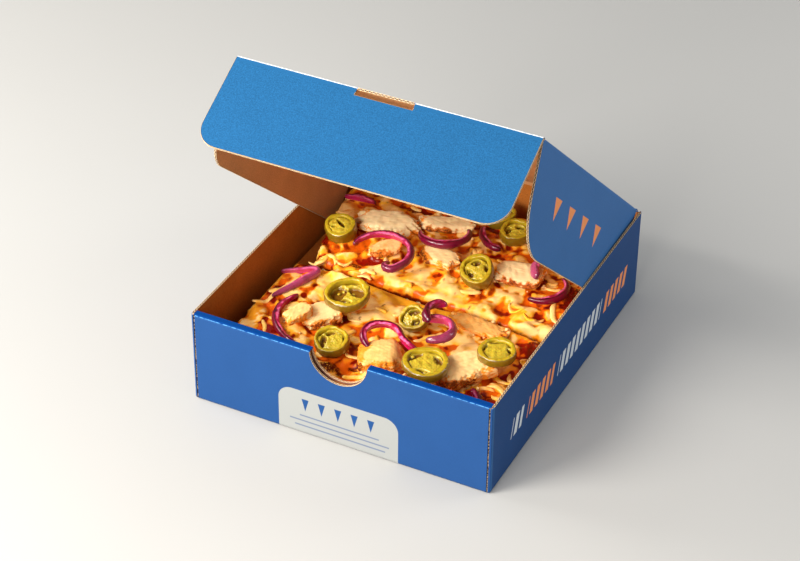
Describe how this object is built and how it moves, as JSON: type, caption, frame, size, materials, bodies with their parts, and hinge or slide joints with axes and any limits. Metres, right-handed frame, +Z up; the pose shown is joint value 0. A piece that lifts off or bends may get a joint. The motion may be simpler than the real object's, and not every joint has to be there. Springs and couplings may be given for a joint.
{
  "type": "pizza in its box",
  "caption": "Rectangular pizza cut across once, with chicken, chilli rings and onion, on a card riser in an open carton with a hinged lid, a tuck flap and a thumb notch.",
  "frame": {"origin": "centre of the tray's underside", "axes": "+X to the right along the front wall, +Y from the front wall to the back, +Z up"},
  "size_m": [0.236, 0.269, 0.2496],
  "materials": {
    "printed_board": "blue print outside, bare kraft inside, satin",
    "kraft_board": "bare kraft",
    "dough": "baked crust",
    "cheese": "melted, slightly oily",
    "chicken": "fibrous, browned edges",
    "chilli": "moist pickled skin",
    "onion": "moist, glossy"
  },
  "bodies": {
    "tray": {"back_cheese": "cheese", "back_dough": "dough", "chicken_back_left": "chicken", "chicken_back_middle": "chicken", "chicken_back_right": "chicken", "chicken_flat_right": "chicken", "chicken_front_left": "chicken", "chicken_front_left_small": "chicken", "chicken_front_middle": "chicken", "chicken_front_right": "chicken", "chicken_torn": "chicken", "chicken_under_arc": "chicken", "chilli_back_corner": "chilli", "chilli_back_left": "chilli", "chilli_back_middle": "chilli", "chilli_back_right": "chilli", "chilli_centre": "chilli", "chilli_centre_left": "chilli", "chilli_front_middle": "chilli", "chilli_front_right": "chilli", "chilli_notch": "chilli", "front_cheese": "cheese", "front_dough": "dough", "onion_back_arc": "onion", "onion_back_bowl": "onion", "onion_back_hook": "onion", "onion_back_left": "onion", "onion_curl_dark": "onion", "onion_curl_left": "onion", "onion_curl_right": "onion", "onion_front_bit": "onion", "onion_left_arc": "onion", "onion_left_tip": "onion", "onion_petal": "onion", "onion_right_bowl": "onion", "riser": "kraft_board", "tray": "printed_board"},
    "lid": {"lid": "printed_board"},
    "tuck_flap": {"tuck_flap": "printed_board"}
  },
  "joints": [
    {"name": "lid_hinge", "type": "hinge", "parent": "tray", "child": "lid", "pos_m": [0, 0.13375, 0.0752], "axis": [-1, 0, 0], "range_deg": [-37.4, 138.5]},
    {"name": "tuck_flap_fold", "type": "hinge", "parent": "lid", "child": "tuck_flap", "pos_m": [0, -0.06195, 0.24834], "axis": [-1, 0, 0], "range_deg": [0, 70]}
  ]
}
